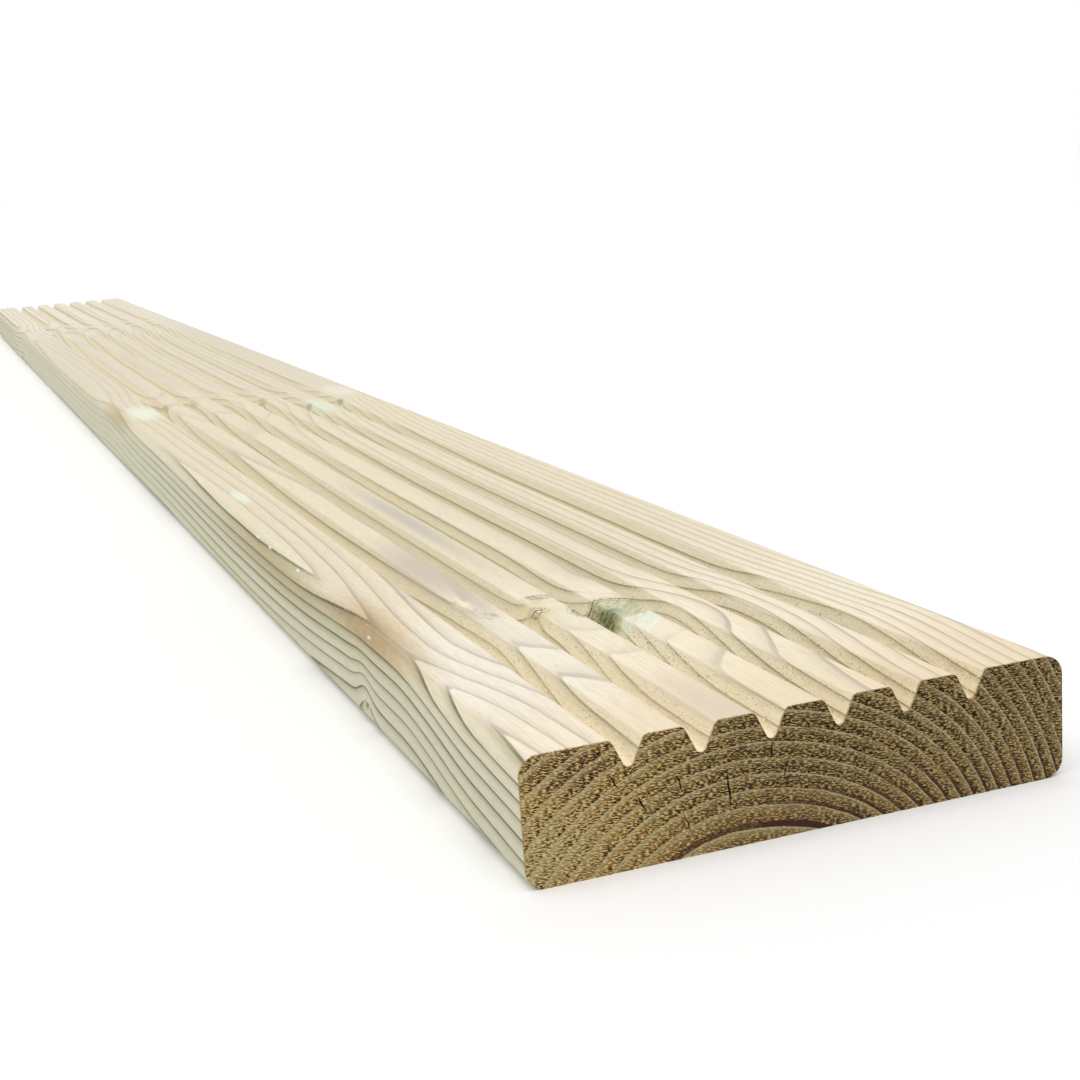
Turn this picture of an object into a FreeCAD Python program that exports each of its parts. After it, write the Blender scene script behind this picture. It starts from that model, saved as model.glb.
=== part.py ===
# Grooved softwood decking board: one length of timber, planed on all four sides, with grooves run along
# its face for grip and drainage. It lies face up. X runs along the grain, Y across the face and Z up
# through the thickness, in millimetres, and the origin is at the middle of the underside.
import FreeCAD
import Part
import Sketcher
import os

PARTS_FOLDER = "parts"
BOARD_LABEL = "decking_board"

# Driving dimensions: alias, value in millimetres (a count has no unit), what it measures
SIZES = (
    ("board_length", 1800, "sawn length, square at both ends"),
    ("board_width", 145, "planed width across the face"),
    ("board_thickness", 32, "planed thickness from the underside to the rib tops"),
    ("arris_radius", 5, "rounding of the four long edges"),
    ("groove_count", 6, "grooves in the face"),
    ("groove_pitch", 18.3, "from the middle of one groove to the next"),
    ("groove_mouth", 10.3, "groove width at the face, where its rounded lips run out"),
    ("groove_depth", 7, "from the rib tops down to the groove floor"),
    ("groove_floor_radius", 1.4, "rounding of the groove floor"),
    ("groove_lip_radius", 1.5, "rounding of the rib edges"),
    ("cutter_overrun", 2, "how far the groove outline stands above the face to cut clear through it"),
)

# Point positions on a sketch element, and the sketch's own origin
START, END, CENTRE = 1, 2, 3
ORIGIN = (-1, 1)

# How far the middle of a quarter circle stands from each of its two tangents, as a share of its radius
QUARTER_ARC_INSET = 1 - 0.5**0.5
PARALLEL_TOLERANCE = 1e-6
MM3_PER_LITRE = 1e6


def add_size_sheet(doc):
    """Puts the driving dimensions into a spreadsheet, one aliased number to a row."""
    sheet = doc.addObject("Spreadsheet::Sheet", "sizes")
    for row, (alias, value, note) in enumerate(SIZES, start=1):
        sheet.set(f"A{row}", alias)
        sheet.set(f"B{row}", str(value))
        sheet.set(f"C{row}", note)
        sheet.setAlias(f"B{row}", alias)
    doc.recompute()
    return sheet


def add_section_sketch(body, name):
    """Adds a sketch on the body's YZ plane: its x is the board's Y and its y is the board's Z."""
    sketch = body.newObject("Sketcher::SketchObject", name)
    plane = next(item for item in body.Origin.OriginFeatures if item.Role == "YZ_Plane")
    sketch.AttachmentSupport = [(plane, "")]
    sketch.MapMode = "FlatFace"
    return sketch


def line(start, end):
    """A straight sketch element between two (y, z) points."""
    return Part.LineSegment(FreeCAD.Vector(*start, 0), FreeCAD.Vector(*end, 0))


def arc(start, middle, end):
    """A round sketch element through three (y, z) points."""
    return Part.Arc(*(FreeCAD.Vector(*point, 0) for point in (start, middle, end)))


def constrain(sketch, kind, *geometry):
    """Adds a geometric relation to the sketch."""
    sketch.addConstraint(Sketcher.Constraint(kind, *geometry))


def drive(sketch, kind, geometry, value, expression):
    """Adds a dimension to the sketch and binds it to the spreadsheet."""
    index = sketch.addConstraint(Sketcher.Constraint(kind, *geometry, value))
    sketch.setExpression(f"Constraints[{index}]", expression)


def add_blank(body, sheet):
    """The squared-up board before moulding: a rectangle, drawn out equally to both ends."""
    sketch = add_section_sketch(body, "blank_section")
    half, thickness = sheet.board_width / 2, sheet.board_thickness
    corners = [(-half, 0), (half, 0), (half, thickness), (-half, thickness)]
    next_corners = corners[1:] + corners[:1]
    sides = [sketch.addGeometry(line(*ends)) for ends in zip(corners, next_corners)]
    for side, next_side in zip(sides, sides[1:] + sides[:1]):
        constrain(sketch, "Coincident", side, END, next_side, START)
    underside, right_side, face, left_side = sides
    constrain(sketch, "Horizontal", underside)
    constrain(sketch, "Horizontal", face)
    constrain(sketch, "Vertical", right_side)
    constrain(sketch, "Vertical", left_side)
    constrain(sketch, "Symmetric", underside, START, underside, END, *ORIGIN)
    across = (underside, START, underside, END)
    upward = (right_side, START, right_side, END)
    drive(sketch, "DistanceX", across, sheet.board_width, "sizes.board_width")
    drive(sketch, "DistanceY", upward, sheet.board_thickness, "sizes.board_thickness")

    blank = body.newObject("PartDesign::Pad", "blank")
    blank.Profile = sketch
    blank.SideType = "Symmetric"
    blank.setExpression("Length", "sizes.board_length")
    return blank


def round_arrises(body, blank):
    """Rounds the four edges that run the length of the blank."""
    along_grain = FreeCAD.Vector(1, 0, 0)
    long_edges = [
        f"Edge{number}"
        for number, edge in enumerate(blank.Shape.Edges, start=1)
        if edge.tangentAt(edge.FirstParameter).isParallel(along_grain, PARALLEL_TOLERANCE)
    ]
    arrises = body.newObject("PartDesign::Fillet", "arrises")
    arrises.Base = (blank, long_edges)
    arrises.setExpression("Radius", "sizes.arris_radius")
    return arrises


def draw_groove(sketch, sheet):
    """The first groove's outline: rounded lips, sloping walls and a round floor, closed above the face."""
    middle = -(sheet.groove_count - 1) / 2 * sheet.groove_pitch
    half_mouth = sheet.groove_mouth / 2
    face = sheet.board_thickness
    top = face + sheet.cutter_overrun
    lip, bed = sheet.groove_lip_radius, sheet.groove_floor_radius
    bed_height = face - sheet.groove_depth + bed

    # Points that the constraints below settle: quarter-round lips and a half-round floor come close
    left_face, right_face = (middle - half_mouth, face), (middle + half_mouth, face)
    left_neck, right_neck = (left_face[0] + lip, face - lip), (right_face[0] - lip, face - lip)
    left_bed, right_bed = (middle - bed, bed_height), (middle + bed, bed_height)
    inset = lip * QUARTER_ARC_INSET
    left_bulge, right_bulge = (left_neck[0] - inset, face - inset), (right_neck[0] + inset, face - inset)

    left_lip = sketch.addGeometry(arc(left_face, left_bulge, left_neck))
    left_wall = sketch.addGeometry(line(left_neck, left_bed))
    floor = sketch.addGeometry(arc(left_bed, (middle, bed_height - bed), right_bed))
    right_wall = sketch.addGeometry(line(right_bed, right_neck))
    right_lip = sketch.addGeometry(arc(right_neck, right_bulge, right_face))
    right_riser = sketch.addGeometry(line(right_face, (right_face[0], top)))
    closing = sketch.addGeometry(line((right_face[0], top), (left_face[0], top)))
    left_riser = sketch.addGeometry(line((left_face[0], top), left_face))

    # A sketched arc runs anticlockwise, so a left lip ends at the face and a right lip starts there
    left_lip_at_face, left_lip_at_wall = (left_lip, END), (left_lip, START)
    right_lip_at_face, right_lip_at_wall = (right_lip, START), (right_lip, END)
    constrain(sketch, "Tangent", *left_lip_at_wall, left_wall, START)
    constrain(sketch, "Tangent", left_wall, END, floor, START)
    constrain(sketch, "Tangent", floor, END, right_wall, START)
    constrain(sketch, "Tangent", right_wall, END, *right_lip_at_wall)
    constrain(sketch, "Coincident", *right_lip_at_face, right_riser, START)
    constrain(sketch, "Coincident", right_riser, END, closing, START)
    constrain(sketch, "Coincident", closing, END, left_riser, START)
    constrain(sketch, "Coincident", left_riser, END, *left_lip_at_face)
    constrain(sketch, "Vertical", left_riser)
    constrain(sketch, "Vertical", right_riser)
    constrain(sketch, "Horizontal", closing)
    # A lip runs out level with the face where its centre is straight below
    constrain(sketch, "Vertical", left_lip, CENTRE, *left_lip_at_face)
    constrain(sketch, "Vertical", right_lip, CENTRE, *right_lip_at_face)

    left_half, right_half = (*left_lip_at_face, floor, CENTRE), (floor, CENTRE, *right_lip_at_face)
    overrun = (left_riser, END, left_riser, START)
    bed_expression = "sizes.board_thickness - sizes.groove_depth + sizes.groove_floor_radius"
    first_groove_expression = "(sizes.groove_count - 1) / 2 * sizes.groove_pitch"
    drive(sketch, "Radius", (left_lip,), lip, "sizes.groove_lip_radius")
    drive(sketch, "Radius", (right_lip,), lip, "sizes.groove_lip_radius")
    drive(sketch, "Radius", (floor,), bed, "sizes.groove_floor_radius")
    drive(sketch, "DistanceX", left_half, half_mouth, "sizes.groove_mouth / 2")
    drive(sketch, "DistanceX", right_half, half_mouth, "sizes.groove_mouth / 2")
    drive(sketch, "DistanceY", (*ORIGIN, *left_lip_at_face), face, "sizes.board_thickness")
    drive(sketch, "DistanceY", (*ORIGIN, *right_lip_at_face), face, "sizes.board_thickness")
    drive(sketch, "DistanceY", overrun, sheet.cutter_overrun, "sizes.cutter_overrun")
    drive(sketch, "DistanceY", (*ORIGIN, floor, CENTRE), bed_height, bed_expression)
    drive(sketch, "DistanceX", (floor, CENTRE, *ORIGIN), -middle, first_groove_expression)


def cut_grooves(body, sheet):
    """Runs the first groove the whole length of the face and repeats it across the width."""
    sketch = add_section_sketch(body, "groove_section")
    draw_groove(sketch, sheet)
    first_groove = body.newObject("PartDesign::Pocket", "first_groove")
    first_groove.Profile = sketch
    first_groove.Type = "ThroughAll"
    first_groove.SideType = "Symmetric"
    body.Document.recompute()

    grooves = body.newObject("PartDesign::LinearPattern", "grooves")
    grooves.Originals = [first_groove]
    grooves.Direction = (sketch, ["H_Axis"])
    grooves.Mode = "Spacing"
    grooves.setExpression("Offset", "sizes.groove_pitch")
    grooves.setExpression("Occurrences", "sizes.groove_count")
    body.Tip = grooves
    return first_groove, grooves


def build_board(doc, sheet):
    """The finished board: squared up, arrises rounded, face grooved."""
    body = doc.addObject("PartDesign::Body", "board")
    body.Label = BOARD_LABEL
    body.Placement = FreeCAD.Placement()
    blank = add_blank(body, sheet)
    doc.recompute()
    arrises = round_arrises(body, blank)
    doc.recompute()
    first_groove, grooves = cut_grooves(body, sheet)
    doc.recompute()

    volumes = [step.Shape.Volume for step in (blank, arrises, first_groove, grooves)]
    if any(after >= before for before, after in zip(volumes, volumes[1:])):
        raise RuntimeError(f"a cut took nothing away, volumes in turn: {volumes}")
    return body


def check_document(doc, sub_parts):
    """Stops before anything is written if an object failed or a sub-part has no sound solid."""
    for item in doc.Objects:
        if "Invalid" in item.State or "Error" in item.State:
            raise RuntimeError(f"{item.Label} failed: {item.State}")
    for sub_part in sub_parts:
        shape = sub_part.Shape
        if shape.isNull() or not shape.isValid() or not shape.Solids:
            raise RuntimeError(f"{sub_part.Label} has no valid solid")


def main():
    doc = FreeCAD.newDocument("decking")
    sheet = add_size_sheet(doc)
    sub_parts = [build_board(doc, sheet)]
    doc.recompute()
    check_document(doc, sub_parts)
    os.makedirs(PARTS_FOLDER, exist_ok=True)
    for sub_part in sub_parts:
        shape, box = sub_part.Shape, sub_part.Shape.BoundBox
        shape.exportStep(os.path.join(PARTS_FOLDER, f"{sub_part.Label}.step"))
        print(f"{sub_part.Label}: {box.XLength:.2f} x {box.YLength:.2f} x {box.ZLength:.2f} mm")
        print(f"{len(shape.Faces)} faces, {shape.Volume / MM3_PER_LITRE:.4f} litres")


main()
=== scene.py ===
# %% [markdown]
# # A grooved decking board
# A length of softwood, planed on four sides, grooved along its face and sawn square at both ends. Its
# shape is one section drawn out along the grain, so most of what the eye reads as wood is colour:
# growth rings that run on from the sawn end into the face, branches that grew through them, and a
# faint green from the preservative. The lesson builds the section with a pen, draws it out, then
# writes the tree's growth once as a field in space that every face cuts through.
#
# The frame that the other programs share is loaded first.

import math
import random

import bmesh
import bpy
from mathutils import Euler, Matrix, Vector, noise


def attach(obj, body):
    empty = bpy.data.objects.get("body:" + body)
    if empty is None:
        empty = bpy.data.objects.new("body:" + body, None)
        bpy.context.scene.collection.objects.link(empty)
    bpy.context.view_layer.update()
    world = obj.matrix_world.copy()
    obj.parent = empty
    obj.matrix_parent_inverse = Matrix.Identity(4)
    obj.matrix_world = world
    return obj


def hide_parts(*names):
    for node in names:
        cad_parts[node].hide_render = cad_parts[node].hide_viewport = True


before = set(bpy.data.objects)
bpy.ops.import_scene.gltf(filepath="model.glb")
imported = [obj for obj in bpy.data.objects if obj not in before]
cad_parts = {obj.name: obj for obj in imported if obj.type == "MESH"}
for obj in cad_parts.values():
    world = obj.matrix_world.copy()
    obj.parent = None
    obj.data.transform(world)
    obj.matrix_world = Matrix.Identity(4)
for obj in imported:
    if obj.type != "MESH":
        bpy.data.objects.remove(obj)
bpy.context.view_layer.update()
scene = bpy.context.scene
scene.view_settings.view_transform = "Standard"
MM = 0.001

# %% [markdown]
# ## Camera
# The board's edges give the camera: straight lines that meet at a vanishing point fix the direction,
# and the known width of the section fixes the distance. The camera is close to the near end, so the
# far end shrinks quickly. It is rolled by four degrees, as a hand-held camera is.

# %% Camera
CAMERA_AT = (1.24816, -0.18855, 0.16175)
CAMERA_TURNS = (77.592, 3.975, 69.352)

camera_data = bpy.data.cameras.new("camera")
camera_data.lens = 58.0
camera_data.sensor_width = 36.0
camera_data.clip_start = 0.01
camera = bpy.data.objects.new("camera", camera_data)
camera.location = CAMERA_AT
camera.rotation_euler = Euler([math.radians(turn) for turn in CAMERA_TURNS])
scene.collection.objects.link(camera)
scene.camera = camera
print("the camera sees", round(math.degrees(camera_data.angle), 1), "degrees across")

# %% [markdown]
# ## Floor and light
# A pale floor and a pale sky light the board from all round, and a wide, soft sun above the camera's
# side makes the face brighter than the sides. A surface under an even sky of strength one renders in
# its own colour, so sky and sun together are kept near that. The sky looks white to the camera only: a
# Light Path node tells the camera's rays from those that light the wood, whose strength is set apart.

# %% Floor
FLOOR_HALF = 40.0
FLOOR_WHITE = (0.98, 0.98, 0.98, 1.0)


def plain_material(name, colour, roughness):
    """One colour all over, set on the shader's own sockets."""
    material = bpy.data.materials.new(name)
    material.use_nodes = True
    shader = material.node_tree.nodes["Principled BSDF"]
    shader.inputs["Base Color"].default_value = colour
    shader.inputs["Roughness"].default_value = roughness
    shader.inputs["Specular IOR Level"].default_value = 0.2
    return material


def mesh_object(name, bm):
    """The bmesh as an object at the origin."""
    mesh = bpy.data.meshes.new(name)
    bm.to_mesh(mesh)
    bm.free()
    piece = bpy.data.objects.new(name, mesh)
    scene.collection.objects.link(piece)
    return piece


bm = bmesh.new()
bmesh.ops.create_grid(bm, x_segments=1, y_segments=1, size=FLOOR_HALF)
floor = mesh_object("floor", bm)
floor.data.materials.append(plain_material("pale_floor", FLOOR_WHITE, 0.9))
print("floor is", 2 * FLOOR_HALF, "m wide")

# %% Sky and sun
SKY, SKY_SEEN = 0.55, 1.0
SUN, SUN_SPREAD = 1.62, math.radians(60)
SUN_FROM = Vector((0.2, -0.2, 0.96))

world = bpy.data.worlds.new("pale_sky")
world.use_nodes = True
scene.world = world
sky_nodes = world.node_tree.nodes
ray = sky_nodes.new("ShaderNodeLightPath")
level = sky_nodes.new("ShaderNodeMapRange")
level.inputs["To Min"].default_value = SKY
level.inputs["To Max"].default_value = SKY_SEEN
world.node_tree.links.new(ray.outputs["Is Camera Ray"], level.inputs["Value"])
sky_nodes["Background"].inputs["Color"].default_value = (1.0, 1.0, 1.0, 1.0)
world.node_tree.links.new(level.outputs["Result"], sky_nodes["Background"].inputs["Strength"])

sun_data = bpy.data.lights.new("soft_sun", "SUN")
sun_data.energy = SUN
sun_data.angle = SUN_SPREAD
sun = bpy.data.objects.new("soft_sun", sun_data)
sun.rotation_euler = SUN_FROM.to_track_quat("Z", "Y").to_euler()
scene.collection.objects.link(sun)
print("sky", SKY, "and sun", SUN, "from", tuple(round(part, 2) for part in SUN_FROM))

# %% [markdown]
# ## The section, drawn with a pen
# A moulder cuts the whole section in one pass, so it is drawn as one closed line. A pen is moved by
# two operators: extruding a point draws a straight line, and spinning it about a centre draws an arc.
# The wall of a groove has to touch both the round lip and the round floor, which fixes its slope: it
# is the line that crosses between the two circles.

# %% Measures of the section
LENGTH, WIDTH, THICKNESS = 1800 * MM, 145 * MM, 32 * MM
ARRIS = 5 * MM
GROOVES, PITCH, MOUTH, DEPTH = 6, 18.3 * MM, 10.3 * MM, 7 * MM
LIP, FLOOR = 1.5 * MM, 1.4 * MM

drop = DEPTH - FLOOR - LIP
between = math.hypot(MOUTH / 2, drop)
wall_angle = math.atan2(drop, MOUTH / 2) + math.asin((LIP + FLOOR) / between)
wall_length = math.sqrt(between**2 - (LIP + FLOOR) ** 2)
print("groove walls slope at", round(math.degrees(wall_angle), 1), "degrees to the face")

# %% The pen
SAME_PLACE = 1e-6


def line_to(bm, pen, y, z, steps=1):
    """Draws straight from the pen's point, in equal steps."""
    for left in range(steps, 0, -1):
        tip = bmesh.ops.extrude_vert_indiv(bm, verts=[pen])["verts"][0]
        bmesh.ops.translate(bm, verts=[tip], vec=Vector((0, y - pen.co.y, z - pen.co.z)) / left)
        pen = tip
    return pen


def arc(bm, pen, y, z, angle, steps):
    """Draws an arc about the centre y, z; a positive angle turns from Y to Z."""
    centre = (pen.co.x, y, z)
    spun = bmesh.ops.spin(bm, geom=[pen], cent=centre, axis=(1, 0, 0), angle=angle, steps=steps)
    return next(part for part in spun["geom_last"] if isinstance(part, bmesh.types.BMVert))


# %% The section
# How many steps each part of the outline is drawn in.
LEFT_STEPS, RIGHT_STEPS, UNDER_STEPS = 10, 8, 12
FLAT_STEPS, RIB_STEPS, LIP_STEPS, WALL_STEPS, FLOOR_STEPS = 9, 5, 5, 3, 8
UPPER_ARRIS_STEPS, LOWER_ARRIS_STEPS = 7, 5


def draw_groove(bm, pen, middle, steps):
    """From the pen's point across the flat in steps, then down into a groove and up to its other lip."""
    run = wall_length * math.cos(wall_angle)
    fall = wall_length * math.sin(wall_angle)
    pen = line_to(bm, pen, middle - MOUTH / 2, THICKNESS, steps)
    pen = arc(bm, pen, middle - MOUTH / 2, THICKNESS - LIP, -wall_angle, LIP_STEPS)
    pen = line_to(bm, pen, pen.co.y + run, pen.co.z - fall, WALL_STEPS)
    pen = arc(bm, pen, middle, THICKNESS - DEPTH + FLOOR, 2 * wall_angle, FLOOR_STEPS)
    pen = line_to(bm, pen, pen.co.y + run, pen.co.z + fall, WALL_STEPS)
    return arc(bm, pen, middle + MOUTH / 2, THICKNESS - LIP, -wall_angle, LIP_STEPS)


def draw_section(bm, x):
    """The closed outline of the board at x, from the left side over the face and back underneath."""
    quarter = -math.pi / 2
    half, top = WIDTH / 2, THICKNESS
    start = bm.verts.new((x, -half, ARRIS))
    pen = line_to(bm, start, -half, top - ARRIS, LEFT_STEPS)
    pen = arc(bm, pen, ARRIS - half, top - ARRIS, quarter, UPPER_ARRIS_STEPS)
    for groove in range(GROOVES):
        middle = (groove - (GROOVES - 1) / 2) * PITCH
        pen = draw_groove(bm, pen, middle, FLAT_STEPS if groove == 0 else RIB_STEPS)
    pen = line_to(bm, pen, half - ARRIS, top, FLAT_STEPS)
    pen = arc(bm, pen, half - ARRIS, top - ARRIS, quarter, UPPER_ARRIS_STEPS)
    pen = line_to(bm, pen, half, ARRIS, RIGHT_STEPS)
    pen = arc(bm, pen, half - ARRIS, ARRIS, quarter, LOWER_ARRIS_STEPS)
    pen = line_to(bm, pen, ARRIS - half, 0, UNDER_STEPS)
    pen = arc(bm, pen, ARRIS - half, ARRIS, quarter, LOWER_ARRIS_STEPS)
    bmesh.ops.remove_doubles(bm, verts=[start, pen], dist=SAME_PLACE)


bm = bmesh.new()
draw_section(bm, LENGTH / 2)
outline = sum(edge.calc_length() for edge in bm.edges)
print("the outline has", len(bm.verts), "points and is", round(outline / MM, 1), "mm long")

# %% [markdown]
# ## Drawn out along the grain
# One extrusion carries the outline from the near end to the far one, and its long edges are then cut
# into rows. The rows are moved so that they lie close together near the camera, where the wood is torn
# round the knots and needs points to move, and further apart towards the far end.

# %% Drawing out
ROWS = 280
EVEN_SHARE = 0.26


def row_place(share):
    """How far along the board a row lies, for its share of the rows: slow at first, then faster."""
    return LENGTH * (EVEN_SHARE * share + (1 - EVEN_SHARE) * share**3)


drawn = bmesh.ops.extrude_edge_only(bm, edges=bm.edges[:])["geom"]
far_points = [part for part in drawn if isinstance(part, bmesh.types.BMVert)]
bmesh.ops.translate(bm, verts=far_points, vec=(-LENGTH, 0, 0))
long_edges = [edge for edge in bm.edges if abs(edge.verts[0].co.x - edge.verts[1].co.x) > LENGTH / 2]
bmesh.ops.subdivide_edges(bm, edges=long_edges, cuts=ROWS - 1, use_grid_fill=True)
for vert in bm.verts:
    vert.co.x = LENGTH / 2 - row_place((LENGTH / 2 - vert.co.x) / LENGTH)
for face in bm.faces:
    face.smooth = True
first_row = round(row_place(1 / ROWS) / MM, 2)
print(ROWS, "rows of", len(far_points), "faces; the first is", first_row, "mm long")

# %% [markdown]
# ## Sawn ends and drying checks
# An end dries first and shrinks round the rings, so it splits along lines that point at the middle of
# the tree, the pith, which lies below this board. Each check is a slit: a thin closed loop on the end,
# left out when the end is filled, and drawn inwards to a closed bottom.

# %% A drying check
PITH = (-18.14, -30.64)
GAPE = [0.0, 0.6, 1.0, 0.9, 0.5, 0.0]
CROOK = 0.25
random.seed(11)


def slit(bm, x, y, z, length, width):
    """A thin, crooked loop on the end at x that points at the pith; its middle y, z is in millimetres."""
    along = Vector((0, y - PITH[0], z - PITH[1])).normalized()
    across = Vector((0, -along.z, along.y))
    middle = Vector((x, y * MM, z * MM))
    line = []
    for index in range(len(GAPE)):
        crook = random.uniform(-CROOK, CROOK)
        line.append(middle + (along * length * (index / (len(GAPE) - 1) - 0.5) + across * crook) * MM)
    one_side = [point + across * gape * width / 2 * MM for point, gape in zip(line, GAPE)]
    other_side = [point - across * gape * width / 2 * MM for point, gape in zip(line, GAPE)][-2:0:-1]
    first = pen = bm.verts.new(one_side[0])
    edges = []
    for point in one_side[1:] + other_side:
        following = line_to(bm, pen, point.y, point.z)
        edges.append(bm.edges.get((pen, following)))
        pen = following
    edges.append(bm.edges.new((pen, first)))
    return edges


def draw_in(bm, loop, depth):
    """Draws a slit's loop inwards along x and closes its bottom."""
    drawn = bmesh.ops.extrude_edge_only(bm, edges=loop)["geom"]
    points = [part for part in drawn if isinstance(part, bmesh.types.BMVert)]
    bmesh.ops.translate(bm, verts=points, vec=(-depth, 0, 0))
    deep = [edge for edge in bm.edges if edge.is_boundary and set(edge.verts) <= set(points)]
    walls = [part for part in drawn if isinstance(part, bmesh.types.BMFace)]
    return walls + bmesh.ops.edgeloop_fill(bm, edges=deep)["faces"]


# %% [markdown]
# The saw also leaves the rim ragged. A narrow band is inset round the end, and the points on the rim
# itself are pushed back by uneven amounts: a little everywhere, and more where a smooth noise is high,
# so that the chips lie in groups.

# %% Closing an end
RIM_BAND = 0.35 * MM
CHECK_DEPTH = 4 * MM
CHIP_LEAST, CHIP_MOST = 0.02, 0.16
CHIP_EXTRA, CHIP_FROM, CHIPS_PER_METRE = 0.3, 0.15, 700
CHIP_INWARD = 0.35


def open_rim(bm, x):
    """The open edges of the board at x."""
    return [edge for edge in bm.edges if edge.is_boundary and abs(edge.verts[0].co.x - x) < SAME_PLACE]


def close_end(bm, x, checks):
    """Fills the end at x round its checks, draws the checks inwards and roughens the rim."""
    bmesh.ops.subdivide_edges(bm, edges=open_rim(bm, x), cuts=2)
    bm.normal_update()
    rim = open_rim(bm, x)
    outward_of = {vert: vert.normal.copy() for edge in rim for vert in edge.verts}
    for edge in rim:
        edge.smooth = False
    end = bmesh.ops.edgeloop_fill(bm, edges=rim)["faces"]
    band = bmesh.ops.inset_region(bm, faces=end, thickness=RIM_BAND)["faces"]
    inner_edges = list(end[0].edges)
    bmesh.ops.delete(bm, geom=end, context="FACES_ONLY")
    loops = [slit(bm, x, *check) for check in checks]
    edges = inner_edges + [edge for loop in loops for edge in loop]
    outward = (math.copysign(1, x), 0, 0)
    filled = bmesh.ops.triangle_fill(bm, edges=edges, use_beauty=True, normal=outward)["geom"]
    faces = band + [part for part in filled if isinstance(part, bmesh.types.BMFace)]
    for loop in loops:
        faces += draw_in(bm, loop, math.copysign(CHECK_DEPTH, x))
    for face in faces:
        face.material_index = 1
    for vert, normal in outward_of.items():
        chip = random.uniform(CHIP_LEAST, CHIP_MOST)
        chip += CHIP_EXTRA * max(0.0, noise.noise(vert.co * CHIPS_PER_METRE) - CHIP_FROM)
        vert.co -= (Vector(outward) + normal * CHIP_INWARD) * chip * MM
    print("end at", x, "has", len(checks), "checks and", len(faces), "faces")


# %% Ends
# Each check: its middle across and up, its length and its width, in millimetres.
near_checks = [
    (-49.7, 22.0, 5.0, 0.42),
    (-43.2, 15.6, 5.0, 0.5),
    (-33.4, 18.6, 6.4, 0.5),
    (-32.0, 8.4, 5.0, 0.42),
    (-21.0, 14.8, 10.5, 0.6),
    (-9.3, 22.3, 5.0, 0.6),
    (-5.5, 17.4, 7.0, 0.4),
    (17.6, 12.4, 6.0, 0.46),
]
far_checks = [
    (-38.0, 12.0, 8.0, 0.3),
    (-12.0, 15.0, 9.0, 0.3),
    (8.0, 17.0, 5.0, 0.25),
    (40.0, 10.0, 6.0, 0.25),
]
bmesh.ops.recalc_face_normals(bm, faces=bm.faces)
close_end(bm, LENGTH / 2, near_checks)
close_end(bm, -LENGTH / 2, far_checks)
bmesh.ops.recalc_face_normals(bm, faces=bm.faces)

# %% [markdown]
# ## Torn grain
# Round a knot the fibres turn out of the face, and the cutters lift them instead of slicing them. The
# faces there are cut finer and their points pushed into the wood, deepest in the middle, in slanting
# furrows where the branch runs along the groove wall and in pits where the grain broke away.

# %% Tearing the grain
FURROW_WIDTH, FURROW_LENGTH, PIT_SIZE = 1.3 * MM, 6 * MM, 1.8 * MM
# Each place: its middle in millimetres from the near end, across and up, its half sizes, depth and
# slant.
TEARS = [
    ((106.0, -6.0, 28.5), (14.0, 8.0, 6.0), 0.55, -1.0),
    ((119.0, -22.0, 30.0), (13.0, 6.0, 4.0), 0.6, -0.5),
    ((125.0, -37.5, 31.5), (10.0, 5.0, 3.0), 0.25, 0.2),
    ((137.0, -72.5, 7.0), (9.0, 3.0, 6.0), 0.35, 0.3),
]


def tear(bm, middle, half_sizes, depth, slant):
    """Cuts the faces round a place finer and pushes their points inwards."""

    def reach(point):
        """0 in the middle of the place and 1 at its edge."""
        from_end = (LENGTH / 2 / MM - point.x / MM, point.y / MM, point.z / MM)
        return math.hypot(*((p - m) / h for p, m, h in zip(from_end, middle, half_sizes)))

    edges = [edge for edge in bm.edges if all(reach(vert.co) < 1.15 for vert in edge.verts)]
    bmesh.ops.subdivide_edges(bm, edges=edges, cuts=3, use_grid_fill=True)
    bm.normal_update()
    moved = [vert for vert in bm.verts if reach(vert.co) < 1.0]
    for vert in moved:
        slanted = (vert.co.x + vert.co.y * slant) / FURROW_WIDTH
        across = Vector((slanted, vert.co.y / FURROW_LENGTH, vert.co.z / FURROW_LENGTH))
        furrow = 0.5 + 0.9 * noise.noise(across)
        pit = 0.5 + 0.8 * noise.noise(vert.co / PIT_SIZE)
        share = (1 - reach(vert.co)) ** 0.7
        vert.co -= vert.normal * depth * MM * share * max(0.0, 0.25 + furrow * 0.5 + pit * 0.35)
    return len(moved)


print("torn points:", [tear(bm, *torn_place) for torn_place in TEARS])
board = mesh_object("board", bm)
print("board has", len(board.data.polygons), "faces")

# %% [markdown]
# ## Writing a field with nodes
# The colours come from formulas in space, and a formula in nodes is long to write one node at a time.
# A small class holds one changing number; adding or multiplying two of them places the Math node and
# joins it, so a formula reads here as it would on paper and still ends up as nodes that can be opened
# and changed.

# %% Placing and joining nodes


def add_node(tree, kind):
    """A new node, set out in columns so that the tree can be read in the editor."""
    node = tree.nodes.new(kind)
    place = len(tree.nodes)
    node.location = (place // 6 * 190, place % 6 * -190)
    return node


def join(tree, value, socket):
    """Links a field or an output to a socket, or sets a plain value on it."""
    if isinstance(value, Field):
        value = value.socket
    if isinstance(value, bpy.types.NodeSocket):
        tree.links.new(value, socket)
    else:
        socket.default_value = value


# %% Fields


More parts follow.
